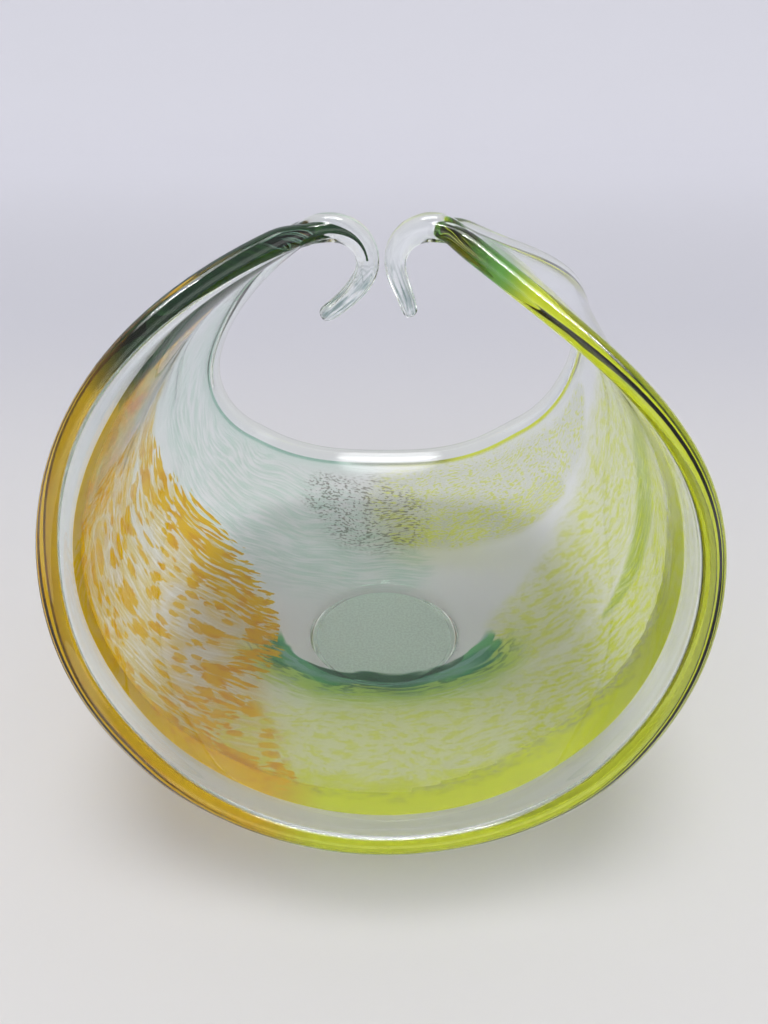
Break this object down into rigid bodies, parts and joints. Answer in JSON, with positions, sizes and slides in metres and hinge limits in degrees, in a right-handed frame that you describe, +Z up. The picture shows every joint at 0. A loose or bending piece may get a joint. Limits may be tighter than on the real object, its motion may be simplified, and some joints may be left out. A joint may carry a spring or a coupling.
{
  "type": "glass bowl",
  "caption": "Blown glass basket bowl with low front and back lips and two sides drawn up into horns that curl down in the middle.",
  "frame": {"origin": "middle of the ground foot, on the surface that the bowl stands on", "axes": "+X to the right horn's side, +Y to the back lip, +Z up"},
  "size_m": [0.2277, 0.2632, 0.2013],
  "materials": {
    "glass": "fire polished clear casing over flecks of amber, lime, white and dark green"
  },
  "bodies": {
    "root": {"glass_bowl": "glass"}
  },
  "joints": []
}
